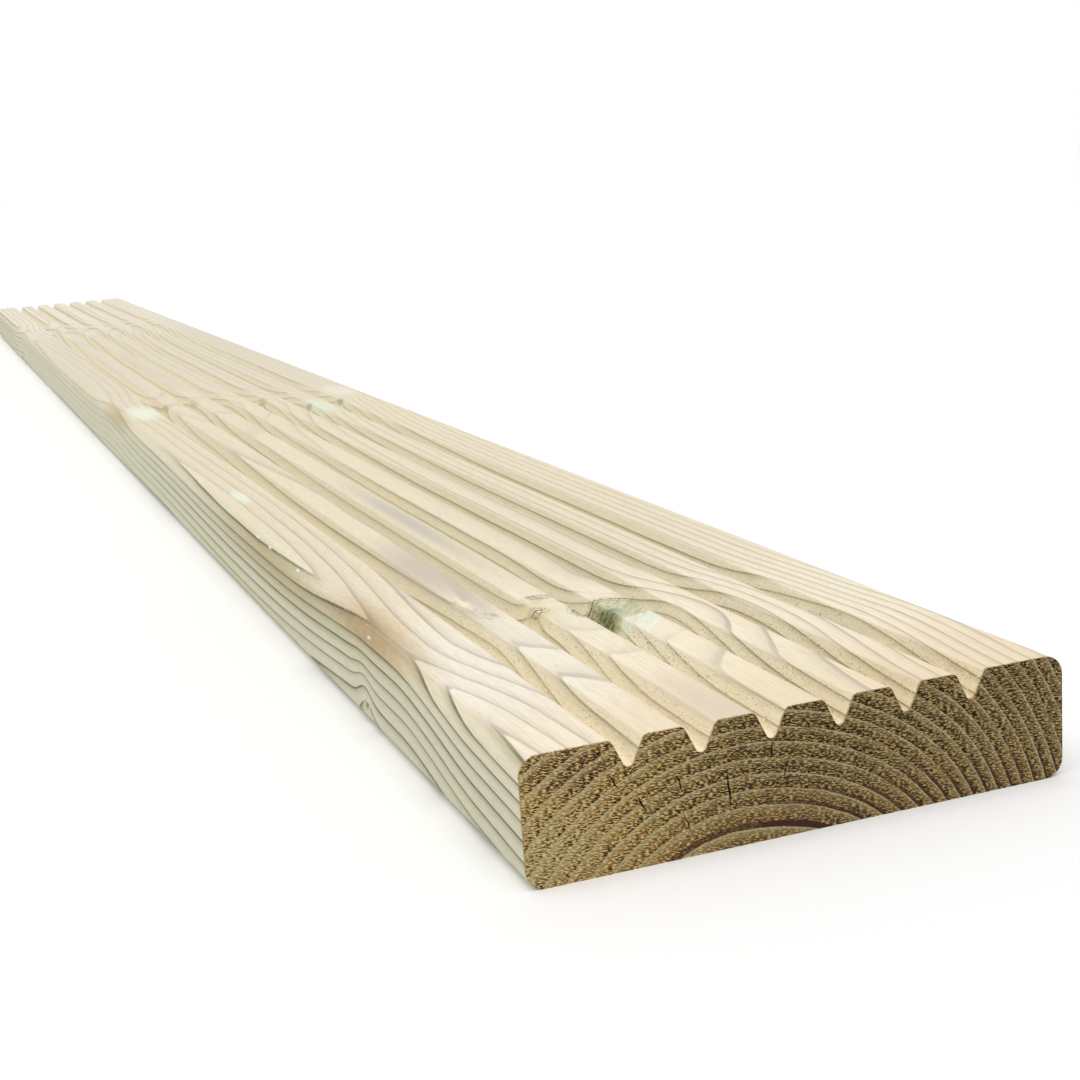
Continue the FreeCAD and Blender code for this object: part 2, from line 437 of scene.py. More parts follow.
class Field:
    """A number that changes over the wood; sums with it add Math nodes to its tree."""

    def __init__(self, tree, socket):
        self.tree = tree
        self.socket = socket

    def apply(self, operation, *values):
        """A Math node of this operation on the values."""
        node = add_node(self.tree, "ShaderNodeMath")
        node.operation = operation
        for value, socket in zip(values, node.inputs):
            join(self.tree, value, socket)
        return Field(self.tree, node.outputs[0])

    def __add__(self, other):
        return self.apply("ADD", self, other)

    def __sub__(self, other):
        return self.apply("SUBTRACT", self, other)

    def __rsub__(self, other):
        return self.apply("SUBTRACT", other, self)

    def __mul__(self, other):
        return self.apply("MULTIPLY", self, other)

    def __truediv__(self, other):
        return self.apply("DIVIDE", self, other)

    __radd__ = __add__
    __rmul__ = __mul__

    def rise(self, low, high):
        """0 below low, 1 above high and smooth between; it falls instead where low is above high."""
        node = add_node(self.tree, "ShaderNodeMapRange")
        node.interpolation_type = "SMOOTHSTEP"
        if low > high:
            node.inputs["To Min"].default_value = 1.0
            node.inputs["To Max"].default_value = 0.0
            low, high = high, low
        node.inputs["From Min"].default_value = low
        node.inputs["From Max"].default_value = high
        join(self.tree, self, node.inputs["Value"])
        return Field(self.tree, node.outputs["Result"])

    def bell(self, width):
        """1 at zero, falling away smoothly over the width."""
        part = self / width
        return self.apply("EXPONENT", part * part * -1.0)


# %% [markdown]
# A place in the wood is a vector, and noise is read from it. Wood is long in the grain, so a noise
# gets a cell with its own size along, across and up the board: the place is divided by the cell first.
# Formulas that are needed in several materials go into node groups, which the last two helpers make
# and use.

# %% Vectors, noise and groups


def separate(tree, vector):
    """The three numbers of a vector, as fields."""
    node = add_node(tree, "ShaderNodeSeparateXYZ")
    join(tree, vector, node.inputs[0])
    return [Field(tree, socket) for socket in node.outputs]


def combine(tree, x, y, z):
    """Three fields as one vector."""
    node = add_node(tree, "ShaderNodeCombineXYZ")
    for value, socket in zip((x, y, z), node.inputs):
        join(tree, value, socket)
    return node.outputs[0]


def vector_math(tree, operation, one, other):
    """A Vector Math node on two vectors; its output 0 is a vector, its output Value a number."""
    node = add_node(tree, "ShaderNodeVectorMath")
    node.operation = operation
    join(tree, one, node.inputs[0])
    join(tree, other, node.inputs[1])
    return node


def grain_noise(tree, place, cell, detail=2.0, roughness=0.5):
    """Noise whose cells are that many millimetres along, across and up."""
    scaled = vector_math(tree, "DIVIDE", place, cell).outputs[0]
    node = add_node(tree, "ShaderNodeTexNoise")
    node.inputs["Scale"].default_value = 1.0
    node.inputs["Detail"].default_value = detail
    node.inputs["Roughness"].default_value = roughness
    join(tree, scaled, node.inputs["Vector"])
    return Field(tree, node.outputs["Fac"])


def new_group(name, inputs, outputs):
    """An empty node group with these sockets, its input node and its output node."""
    tree = bpy.data.node_groups.new(name, "ShaderNodeTree")
    for direction, sockets in (("INPUT", inputs), ("OUTPUT", outputs)):
        for label, kind in sockets.items():
            tree.interface.new_socket(label, in_out=direction, socket_type="NodeSocket" + kind)
    return tree, tree.nodes.new("NodeGroupInput"), tree.nodes.new("NodeGroupOutput")


def use_group(tree, group, **inputs):
    """A node that runs the group in this tree, with values or links on its inputs."""
    node = add_node(tree, "ShaderNodeGroup")
    node.node_tree = group
    for label, value in inputs.items():
        join(tree, value, node.inputs[label])
    return node


# %% [markdown]
# ## A branch through the wood
# A knot is a branch cut across. The branch starts at the pith and thickens outwards, so it is a cone,
# and how far a point lies from its axis, measured in the cone's own radius, says where the knot is on
# any face. The group takes the cone's foot, its direction and its slope. Close to the foot the radius
# is kept from going to nothing, so that the division stays safe.

# %% Branch group
THINNEST = 0.6

branch, inside, outside = new_group(
    "branch",
    {"Place": "Vector", "Foot": "Vector", "Direction": "Vector", "Slope": "Float"},
    {"Ratio": "Float"},
)
direction = inside.outputs["Direction"]
from_foot = vector_math(branch, "SUBTRACT", inside.outputs["Place"], inside.outputs["Foot"]).outputs[0]
along = Field(branch, vector_math(branch, "DOT_PRODUCT", from_foot, direction).outputs["Value"])
cross = vector_math(branch, "CROSS_PRODUCT", from_foot, direction).outputs[0]
away = Field(branch, vector_math(branch, "LENGTH", cross, cross).outputs["Value"])
radius = along.apply("MAXIMUM", along * Field(branch, inside.outputs["Slope"]), THINNEST)
join(branch, away / radius, outside.inputs["Ratio"])
print("the branch group has", len(branch.nodes), "nodes")

# %% [markdown]
# ## The growth rings
# Every ring is a thin cone round the pith. The field gives each point its distance from the pith,
# drawn a little wider on one side as the tree leaned. Along the left arris a branch under the surface
# has folded the rings, which gives the tongues there sharp tips.
#
# The planed faces and the sawn end read the same field. Close to the near end the faces need small
# corrections that would bend the arcs on the end itself, so the group has an input called End. The
# sawn material sets it to 1, which leaves those corrections out within 60 mm of the near end and
# steepens the rings on the right instead.

# %% Growth ring group: place on the board
rings, inside, outside = new_group(
    "growth_rings",
    {"End": "Float"},
    {"Place": "Vector", "Distance": "Float", "Phase": "Float", "Ring": "Float", "Around": "Float"},
)
coordinates = add_node(rings, "ShaderNodeTexCoord")
board_place = add_node(rings, "ShaderNodeMapping")
board_place.inputs["Location"].default_value = (LENGTH / 2 / MM, 0.0, 0.0)
board_place.inputs["Scale"].default_value = (-1 / MM, 1 / MM, 1 / MM)
join(rings, coordinates.outputs["Object"], board_place.inputs["Vector"])
place = board_place.outputs[0]
u, y, z = separate(rings, place)
on_end = Field(rings, inside.outputs["End"]) * u.rise(60.0, 0.0)
on_faces = 1.0 - on_end

# %% Growth ring group: round the pith
# The fold starts at this y. Distances are in millimetres and angles round the pith in radians.
FOLD = -69.3
NARROW_RIGHT, WIDE_LEFT, LEAN = 0.865, 1.035, 0.00194

past_fold = u.apply("MAXIMUM", FOLD - y, 0.0) * on_faces
dy = y + past_fold - PITH[0]
dz = z - PITH[1]
stretched = u.apply("MAXIMUM", dy, 0.0) * NARROW_RIGHT + u.apply("MINIMUM", dy, 0.0) * WIDE_LEFT
distance = u.apply("SQRT", stretched * stretched + dz * dz)
distance = distance + dy * u.apply("ABSOLUTE", dy) * LEAN
around = u.apply("ARCTAN2", dy, dz)
past_right = u.apply("MAXIMUM", y - 36.0, 0.0)
steeper = past_right * (z - 14.0) * (past_right * 0.00017 - 0.0083)
distance = distance - around.rise(0.14, 1.31) * 5.5 + steeper * on_end
wider = around.rise(0.6, 1.0) * 4.6 + around.rise(-0.42, -0.7) * 5.0
wider = wider - past_fold * (0.52 - past_fold * 0.13)
wider = wider + past_fold * u.apply("MINIMUM", z - 27.0, 0.0) * 0.055
distance = distance + wider * on_faces

# %% [markdown]
# Where a whorl of branches grew the rings swell, so the planed face dips under a ring and shows long
# tongues that point along the board, and past a whorl the stem is thinner. The first whorl is close to
# the camera, so its swelling is put together from what shows on the face: a bulge that leans back to
# the right, the thinner stem behind it, a long rise on the left where two branches follow one another,
# a second rise on the right, and a hollow behind the largest knot.

# %% Growth ring group: whorls


def swelling(middle, near, far):
    """1 at the middle, falling over the near reach before it and the far reach after it."""
    offset = u - middle
    behind = u.apply("GREATER_THAN", offset, 0.0)
    return offset.bell(behind * (far - near) + near)


right_of = u.apply("MAXIMUM", around - 0.2, 0.0)
bulge = swelling(right_of * -60.9 + 98.6, 49.0, 35.5) * (around * 1.78 + 1.0) * 2.73
thinner = u.rise(31.0, 103.0) * around.rise(1.3, -0.27) * 5.0
left_rise = swelling(100.0, 90.0, 98.0) * around.rise(-0.17, -0.77) * 7.1
right_rise = swelling(107.0, 28.0, 28.0) * (around - 0.6).bell(0.43) * 3.7
hollow = swelling(144.0, 24.0, 30.0) * (around - 0.22).bell(0.15) * -1.6
swell = bulge + thinner + left_rise + right_rise + hollow

# Further whorls: how far each lifts the rings, its place along the board, its lean and its two
# reaches.
FAR_WHORLS = [(6.0, 692.0, -60.0, 85.0, 60.0), (6.0, 1372.0, -40.0, 90.0, 70.0)]
for lift, at, lean, near, far in FAR_WHORLS:
    swell = swell + swelling(around * lean + at, near, far) * (around * 0.6 + 1.0) * lift
    swell = swell + u.rise(at - 360.0, at - 130.0) * 2.4
distance = distance - swell * on_faces

# %% [markdown]
# Each branch also lifts the rings close round it, which wraps their lines round the knot. No tree is
# exact, so two noises let the rings wander: a broad one towards the far end, which is only seen from
# afar, and a fine one everywhere.

# %% Growth ring group: branches
# Each branch: the middle of its knot on the surface in millimetres, its radius there, how far it leans
# along the board and how far it lifts the rings.
BRANCHES = [
    ((109.0, -4.5, 30.0), 12.0, 16.0, 1.0),
    ((119.0, -22.0, 30.0), 7.0, 14.0, 2.6),
    ((139.0, -39.0, 32.0), 4.0, 12.0, 0.5),
    ((137.0, -72.0, 7.0), 7.0, 10.0, 3.4),
    ((703.0, -42.0, 30.0), 8.0, 14.0, 2.4),
    ((684.0, 13.0, 30.0), 8.0, 14.0, 2.4),
    ((641.0, 49.0, 30.0), 8.0, 14.0, 2.4),
    ((1350.0, -26.0, 30.0), 10.0, 14.0, 2.8),
]
for tip, size, lean, lift in BRANCHES:
    foot = Vector((tip[0] - lean, *PITH))
    axis = Vector(tip) - foot
    slope = size / axis.length
    node = use_group(rings, branch, Place=place, Foot=foot, Direction=axis.normalized(), Slope=slope)
    distance = distance - Field(rings, node.outputs["Ratio"]).bell(1.2) * lift

wander = (grain_noise(rings, place, (230.0, 40.0, 40.0)) - 0.5) * 2.4
distance = distance + wander * u.rise(380.0, 900.0)
distance = distance + (grain_noise(rings, place, (40.0, 5.0, 5.0)) - 0.5) * 0.45

# %% [markdown]
# Counting the distance in ring widths gives each ring a number and each point a phase, from 0, the
# pale wood of spring, to 1, the hard dark line of autumn. Young wood grows faster, so inside the first
# ring that is counted the rings are wider, and a noise read along the distance makes them uneven.

# %% Growth ring group: counting
RING_WIDTH, FIRST_RING, CORE_RING = 3.86, 39.7, 5.9
FIRST_PHASE = 0.88

beyond_first = distance - FIRST_RING
count = u.apply("MAXIMUM", beyond_first, 0.0) / RING_WIDTH
count = count + u.apply("MINIMUM", beyond_first, 0.0) / CORE_RING
uneven = grain_noise(rings, combine(rings, 0.0, 0.0, distance), (1.0, 1.0, 7.0), 0.0)
count = count + (uneven - 0.5) * 0.2 + FIRST_PHASE
ring = u.apply("FLOOR", count)
given = {"Place": place, "Distance": distance, "Phase": count - ring, "Ring": ring, "Around": around}
for label, value in given.items():
    join(rings, value, outside.inputs[label])
print("the ring group has", len(rings.nodes), "nodes")

# %% [markdown]
# ## Patches
# Preservative gathers green where the grain is open, and torn wood shows brown. Each such patch is an
# ellipsoid in the wood, so it crosses from a groove wall to a rib without a seam. The group gives how
# much of the patch a point has, in two ways: Ragged has an edge broken up by the grain and suits torn
# wood, and Soft fades from the middle and suits a stain.

# %% Patch group
patch, inside, outside = new_group(
    "patch",
    {"Place": "Vector", "Centre": "Vector", "Size": "Vector"},
    {"Ragged": "Float", "Soft": "Float"},
)
patch_place = inside.outputs["Place"]
from_centre = vector_math(patch, "SUBTRACT", patch_place, inside.outputs["Centre"]).outputs[0]
in_sizes = vector_math(patch, "DIVIDE", from_centre, inside.outputs["Size"]).outputs[0]
reach = Field(patch, vector_math(patch, "LENGTH", in_sizes, in_sizes).outputs["Value"])
ragged = grain_noise(patch, patch_place, (5.0, 1.6, 1.6), 3.0, 0.6) - 0.5
join(patch, (reach + ragged * 1.1).rise(1.0, 0.35), outside.inputs["Ragged"])
join(patch, (reach + ragged * 0.25).rise(1.2, 0.1), outside.inputs["Soft"])
print("the patch group has", len(patch.nodes), "nodes")


def patch_amount(tree, place, centre, size, edge="Ragged"):
    """How much of a patch each point has; its centre and half sizes are in millimetres."""
    node = use_group(tree, patch, Place=place, Centre=centre, Size=size)
    return Field(tree, node.outputs[edge])


def patch_total(tree, place, patches):
    """The sum of ragged patches, each a centre, half sizes and an amount."""
    return sum(patch_amount(tree, place, centre, size) * amount for centre, size, amount in patches)


# %% [markdown]
# ## Laying colours
# A painter lays thin coats over one another, and the materials are written the same way. A coat starts
# from one colour, and each further colour is laid over what is there by an amount that changes over
# the wood. Colours are given as they look on screen and turned into the linear values that a shader
# reads.

# %% Coats of colour


def srgb(red, green, blue):
    """A colour as it looks on screen, 0 to 255, as the linear values a shader reads."""
    linear = [((c / 255 + 0.055) / 1.055) ** 2.4 if c > 10 else c / 3295 for c in (red, green, blue)]
    return (*linear, 1.0)


class Coat:
    """A colour in a material's tree that others are laid over."""

    def __init__(self, tree, shade):
        self.tree = tree
        self.colour = srgb(*shade)

    def lay(self, amount, shade, mode="MIX"):
        """Lays a shade, or another coat, over this one by the amount."""
        node = add_node(self.tree, "ShaderNodeMix")
        node.data_type = "RGBA"
        node.blend_type = mode
        join(self.tree, amount, node.inputs["Factor"])
        under, over = [socket for socket in node.inputs if socket.type == "RGBA"]
        join(self.tree, self.colour, under)
        join(self.tree, shade.colour if isinstance(shade, Coat) else srgb(*shade), over)
        self.colour = next(socket for socket in node.outputs if socket.type == "RGBA")


def shader_of(material):
    """A material's tree of nodes and the shader at its end."""
    material.use_nodes = True
    return material.node_tree, material.node_tree.nodes["Principled BSDF"]


def give_surface(tree, shader, coat, roughness, gloss, height, strength, depth):
    """Joins a finished coat to the shader, with fine relief made from a height."""
    join(tree, coat.colour, shader.inputs["Base Color"])
    shader.inputs["Roughness"].default_value = roughness
    shader.inputs["Specular IOR Level"].default_value = gloss
    relief = add_node(tree, "ShaderNodeBump")
    relief.inputs["Strength"].default_value = strength
    relief.inputs["Distance"].default_value = depth
    join(tree, height, relief.inputs["Height"])
    join(tree, relief.outputs["Normal"], shader.inputs["Normal"])


def from_nearest_end(u):
    """How far a point lies from the end of the board that is nearer to it."""
    return u.apply("MINIMUM", u, LENGTH / MM - u)


# %% [markdown]
# ## Planed and moulded faces
# Along the grain a ring shows as a pale band that darkens slowly and stops at a sharp edge. How it
# looks depends on where it is cut, so the first fields tell the flats on top, the left-hand side and
# the grooves apart. The noises are the fibres, cut at a slight angle, broad clouds of colour, and
# specks.

# %% Planed softwood: where a point lies
planed = bpy.data.materials.new("planed_softwood")
tree, shader = shader_of(planed)
growth = use_group(tree, rings)
place = growth.outputs["Place"]
phase, around = [Field(tree, growth.outputs[label]) for label in ("Phase", "Around")]
u, y, z = separate(tree, place)
flat_top = z.rise(30.9, 31.8)
on_side = y.rise(-68.0, -71.5)
off_side = 1.0 - on_side
in_groove = u.apply("ABSOLUTE", y).rise(53.0, 51.0) * (1.0 - flat_top) * z.rise(20.0, 24.5)
on_face = z.rise(20.0, 24.0)

streaks = grain_noise(tree, place, (60.0, 0.8, 0.8), 3.0)
fine = grain_noise(tree, place, (7.0, 0.35, 0.35), 2.0)
cloud = grain_noise(tree, place, (110.0, 22.0, 22.0), 2.0)
specks = grain_noise(tree, place, (0.8, 0.5, 0.5), 1.0)

# %% [markdown]
# Some years leave a darker line than others, so each ring's number picks a strength at random. The
# lines are then weakened where they look paler on the real board: away from the camera, on top, along
# the middle of the face, where the rings are cut nearly level, and on the near ribs. Over the last
# stretch they come back.

# %% Planed softwood: strength of the lines
number = add_node(tree, "ShaderNodeTexWhiteNoise")
number.noise_dimensions = "1D"
join(tree, growth.outputs["Ring"], number.inputs["W"])
ring_strength = Field(tree, number.outputs["Value"]) * 0.4 + 0.65

last_stretch = u.rise(1250.0, 1600.0) * 0.5
far_off = u.rise(250.0, 1000.0) - last_stretch
on_top = off_side * (u.rise(60.0, 500.0) - last_stretch)
along_middle = (around - 0.08).bell(0.28) * flat_top
near_left = off_side * u.rise(150.0, 95.0) * y.rise(24.0, -4.0)
far_side = on_side * (u.rise(380.0, 760.0) - last_stretch)

strength = ring_strength * (streaks * 0.9 + 0.55)
for weaker in (far_off * 0.33, on_top * 0.32, along_middle * 0.55, near_left * 0.28, far_side * 0.65):
    strength = strength * (1.0 - weaker)
ring_end = phase.rise(1.0, 0.95)
fade = phase.rise(0.35, 1.0) * ring_end * strength
line = phase.rise(0.78, 0.9) * ring_end * strength

# %% [markdown]
# The pale wood between the lines comes first. The upper flats catch the light and look creamier, the
# side is greener, and the colour drifts along the board: tan close to the sawn end, greyer behind the
# first whorl and paler again at the far end. The near grooves on the left and the far grooves are
# laid paler as painted light, against the shade that falls in them.

# %% Planed softwood: the pale wood
wood = Coat(tree, (213, 211, 185))
wood.lay(flat_top, (253, 241, 215))
upper_side = on_side * z.rise(14.0, 25.0) * u.rise(120.0, 40.0)
wood.lay(upper_side * 0.6, (232, 220, 196))
under_arris = on_side * (1.0 - flat_top) * z.rise(23.0, 30.5)
wood.lay(under_arris * 0.75, (238, 226, 196))
wood.lay(in_groove, (238, 228, 200))
wood.lay(cloud.rise(0.42, 0.66) * flat_top * 0.5, (248, 228, 200))
wood.lay(cloud.rise(0.5, 0.3) * 0.3, (228, 228, 204))

near_end = u.rise(70.0, 0.0) * z.rise(20.0, 26.0) * y.rise(-52.0, -40.0)
wood.lay(near_end * 0.55, (240, 219, 180))
left_flat = flat_top * y.rise(-50.0, -54.0) * u.rise(90.0, 200.0)
wood.lay(left_flat * 0.55, (228, 214, 183))
wood.lay(flat_top * u.rise(90.0, 220.0) * 0.85, (239, 227, 199))
wood.lay(flat_top * u.rise(500.0, 1000.0) * 0.85, (231, 223, 203))
wood.lay(off_side * u.rise(1150.0, 1500.0) * 0.6, (250, 244, 228))
# Painted light: the near grooves on the left and the far grooves are laid paler against their shade.
wood.lay(in_groove * near_left * 0.65, (250, 238, 210))
pale_left = flat_top * near_left * y.rise(-20.0, -40.0) * (u.rise(15.0, 50.0) * 0.55 + 0.25)
wood.lay(pale_left, (250, 244, 228))
far_groove_painted_light = in_groove * (u.rise(300.0, 1000.0) - last_stretch)
wood.lay(far_groove_painted_light * 0.8, (247, 239, 217))
wood.lay(streaks.rise(0.44, 0.68) * flat_top * 0.24, (232, 212, 182))

# %% [markdown]
# The lines are laid in two parts: a broad fade that darkens through the year and the narrow line that
# ends it. On the flats they are a soft mauve, laid paler as painted light, since the bright light on
# the top washes them out; in the grooves and on the side they are olive and dark. Brown and white
# specks in the near grooves are broken fibres, and the white ones are painted sparkle: a painted
# highlight where the fibres catch the light.

# %% Planed softwood: ring lines
fade_colour = Coat(tree, (178, 170, 134))
# Painted light: paler fade and line on the flat tops, where the bright light washes them out.
fade_colour.lay(flat_top, (214, 202, 184))
line_colour = Coat(tree, (126, 118, 82))
line_colour.lay(flat_top, (186, 172, 152))
line_colour.lay(on_side, (100, 98, 74))
line_colour.lay(far_off * in_groove * 0.6, (190, 180, 146))
wood.lay(fade * (on_side * 0.25 + 0.7), fade_colour)
wood.lay(line * (on_side * 0.25 + 0.62), line_colour)
wood.lay(fine.rise(0.4, 0.75) * 0.2, (168, 150, 115))
near_groove = in_groove * u.rise(260.0, 90.0)
wood.lay(specks.rise(0.64, 0.71) * near_groove * 0.7, (160, 136, 84))
# Painted highlight: white specks of sparkle on the broken fibres in the near grooves.
wood.lay(specks.rise(0.35, 0.28) * near_groove * 0.8, (255, 249, 228))

# %% [markdown]
# ## Stains
# Patches and soft stains lay their colour over the wood: mint and brown round the far knots, and mauve
# along the flats. Tints multiply instead, so the ring lines under them stay visible, as they do under
# a thin stain.

# %% Planed softwood: stains
# Each stain: its middle in millimetres from the near end, across and up, its half sizes, colour and
# amount.
PATCHES = [
    ((368.0, -62.5, 32.0), (22.0, 4.0, 4.0), (240, 244, 228), 0.85),
    ((682.0, -59.0, 32.0), (46.0, 13.0, 8.0), (240, 245, 224), 0.95),
    ((703.0, -42.0, 30.0), (16.0, 3.6, 4.0), (204, 188, 142), 0.7),
    ((712.0, -24.0, 30.0), (18.0, 3.6, 4.0), (208, 192, 150), 0.55),
    ((684.0, 13.0, 30.0), (14.0, 3.2, 4.0), (196, 184, 134), 0.65),
    ((628.0, 35.0, 31.0), (44.0, 9.0, 5.0), (228, 240, 216), 0.8),
    ((640.0, 31.0, 30.0), (10.0, 3.0, 3.0), (170, 180, 138), 0.7),
    ((641.0, 49.5, 31.0), (10.0, 3.0, 3.0), (160, 174, 140), 0.75),
    ((684.0, 60.0, 32.0), (38.0, 11.0, 4.0), (246, 240, 224), 0.6),
    ((1345.0, -35.0, 30.0), (20.0, 6.0, 6.0), (186, 198, 160), 0.7),
    ((1352.0, -17.0, 30.0), (22.0, 7.0, 6.0), (222, 196, 150), 0.6),
    ((1410.0, -67.0, 30.0), (20.0, 6.0, 6.0), (196, 200, 158), 0.6),
]
SOFT_STAINS = [
    ((275.0, -18.0, 32.0), (105.0, 5.0, 3.0), (202, 194, 180), 0.9),
    ((190.0, -37.5, 32.0), (62.0, 10.0, 3.0), (208, 197, 178), 0.95),
    ((140.0, -35.0, 32.0), (24.0, 3.4, 3.0), (208, 196, 180), 0.6),
    ((79.0, 0.5, 32.0), (17.0, 7.0, 3.0), (249, 235, 209), 0.85),
    ((10.0, -18.3, 32.0), (36.0, 8.0, 3.0), (226, 209, 188), 0.7),
    ((128.0, 0.5, 32.0), (8.0, 7.0, 3.0), (247, 232, 206), 0.8),
]
TINTS = [
    ((126.0, -68.5, 31.5), (60.0, 8.5, 5.0), (222, 206, 182), 0.95),
    ((135.0, -71.8, 28.5), (62.0, 3.4, 4.5), (220, 202, 174), 0.85),
    ((250.0, -73.0, 25.0), (165.0, 3.0, 11.0), (222, 210, 182), 0.9),
    ((700.0, -71.0, 28.0), (70.0, 6.0, 9.0), (224, 216, 190), 0.85),
    ((722.0, -49.0, 29.0), (32.0, 6.0, 6.0), (222, 210, 182), 0.75),
]
LAYERS = [(PATCHES, "Ragged", "MIX"), (SOFT_STAINS, "Soft", "MIX"), (TINTS, "Soft", "MULTIPLY")]
for stains, edge, mode in LAYERS:
    for centre, size, shade, amount in stains:
        wood.lay(patch_amount(tree, place, centre, size, edge) * amount, shade, mode)
print("stains laid:", sum(len(stains) for stains, edge, mode in LAYERS))

# %% [markdown]
# ## The first whorl
# The first whorl is the part the eye goes to, so each of its knots has its own look. The largest is a
# round branch cut through by a groove. In front of it the groove wall is gritty and a pale mint streak
# slants over the rib; the streak is a patch in a frame that is turned to its direction.

# %% Planed softwood: in front of the largest knot
STREAK_AT, STREAK_TURN = 90.0, (0.925, 0.379)

leaning = grain_noise(tree, combine(tree, u * 0.7 - y, u, z), (0.8, 9.0, 5.0), 2.0, 0.6)
grit = patch_amount(tree, place, (76.0, -7.0, 29.0), (34.0, 4.5, 4.5), "Soft")
wood.lay(grit * specks.rise(0.63, 0.7) * 0.85, (104, 90, 54))
wood.lay(grit * specks.rise(0.42, 0.34) * 0.9, (234, 242, 226))
from_streak = u - STREAK_AT
along_streak = from_streak * STREAK_TURN[0] + y * STREAK_TURN[1]
across_streak = y * STREAK_TURN[0] - from_streak * STREAK_TURN[1]
slanted = combine(tree, along_streak, across_streak, z)
mint = patch_amount(tree, slanted, (0.0, 0.0, 32.0), (13.0, 4.4, 5.0))
mint = mint + patch_amount(tree, place, (94.0, -5.0, 30.0), (7.0, 3.4, 4.0)) * 0.7
wood.lay(mint * 0.7, (224, 240, 218))
wood.lay(mint * leaning.rise(0.5, 0.62) * 0.8, (248, 252, 240))

# %% [markdown]
# The knot itself is soaked green, with dark fibres across the groove wall. Along its far rim the rings
# of the branch are swirled: the reach from the knot's middle, folded back and forth, gives thin lines
# at even steps.

# %% Planed softwood: the largest knot
KNOT, KNOT_RADIUS, SWIRL_STEP = (108.5, -4.0), 12.0, 0.09

knot_u = u - KNOT[0]
knot_y = y - KNOT[1]
swirl = grain_noise(tree, place, (4.0, 2.0, 2.0), 2.0)
reach = u.apply("SQRT", knot_u * knot_u + knot_y * knot_y) / KNOT_RADIUS + (swirl - 0.5) * 0.25
inside_knot = reach.rise(1.08, 0.9) * on_face
wood.lay(inside_knot * 0.8, (206, 204, 166))
wood.lay(inside_knot * leaning.rise(0.52, 0.4) * 0.45, (150, 156, 110))
wall = patch_amount(tree, place, (108.0, -7.5, 28.0), (15.0, 4.5, 5.0))
wood.lay(wall * 0.7, (176, 168, 116))
wood.lay(wall * specks.rise(0.54, 0.64), (92, 74, 38))
teal = patch_amount(tree, place, (103.5, -3.0, 31.5), (7.0, 3.2, 3.0))
wood.lay(teal * leaning.rise(0.4, 0.6) * 0.8, (176, 202, 182))

near_rim = reach.rise(0.66, 0.76) * reach.rise(1.12, 1.02)
rim = u.apply("PINGPONG", reach, SWIRL_STEP).rise(0.04, 0.015) * near_rim
rim = rim * knot_u.rise(-2.0, 8.0) * on_face * swirl.rise(0.26, 0.46)
wood.lay(rim * 0.85, (104, 96, 58))
crossing = grain_noise(tree, combine(tree, u + y, u - y, z), (0.6, 6.0, 5.0), 2.0, 0.6)
heart = patch_amount(tree, place, (106.5, -5.5, 29.0), (9.0, 4.5, 5.0))
wood.lay(heart * 0.65, (128, 132, 84))
wood.lay(heart * crossing.rise(0.54, 0.42), (58, 62, 32))

# %% [markdown]
# The next knot is torn and brown, the third is a clean pale eye, and one on the side has its rings
# wrapped round it.

# %% Planed softwood: the other knots
TORN = [
    ((119.0, -22.5, 30.5), (7.0, 4.0, 4.0), 1.0),
    ((132.5, -18.5, 32.0), (5.5, 6.0, 3.0), 1.0),
    ((110.5, -13.6, 31.0), (9.0, 2.8, 3.0), 1.0),
    ((122.0, -37.0, 32.0), (7.0, 4.0, 3.0), 0.5),
]
torn = patch_total(tree, place, TORN)
round_torn = patch_amount(tree, place, (119.0, -22.0, 30.0), (16.0, 8.0, 5.0))
wood.lay(round_torn * 0.6, (230, 214, 170))
wood.lay(torn * crossing.rise(0.5, 0.4), (112, 96, 56))
wood.lay(torn * specks.rise(0.58, 0.68), (96, 78, 44))
eye = patch_amount(tree, place, (139.0, -39.3, 32.0), (10.0, 2.2, 3.0))
wood.lay(eye * 0.9, (252, 236, 208))
side_knot = patch_amount(tree, place, (137.0, -72.5, 7.0), (6.0, 4.0, 3.6))
wood.lay(side_knot * 0.8, (226, 222, 194))
wood.lay(side_knot * specks.rise(0.54, 0.64) * 0.8, (92, 84, 52))
side_heart = patch_amount(tree, place, (137.0, -72.5, 6.5), (2.4, 3.0, 1.6))
wood.lay(side_heart * 0.9, (150, 118, 66))

# %% [markdown]
# Resin dries white: specks of it lie on the left flat, and a few larger drops lie along the arris. Both
# are laid a bluish white, partly the resin's own colour and partly a painted glint, a painted highlight.
# The sawn rim shows as a brown fringe of torn fibres. The surface is planed, so its relief is slight.

# %% Planed softwood: resin, fringe and surface
RESIN_GLINT_PATCHES = [
    ((60.0, -67.5, 32.0), (9.0, 2.6, 3.0), 1.5),
    ((113.0, -63.0, 32.0), (6.0, 1.6, 2.0), 1.5),
    ((215.0, -70.5, 31.0), (120.0, 2.5, 3.0), 0.8),
]
GLINT_DROP_SIZE = (3.4, 0.75, 0.75)
GLINT_DROPS = [(128.5, -72.2, 29.4), (224.0, -71.2, 30.4), (268.0, -71.4, 30.2), (290.0, -71.4, 30.2)]

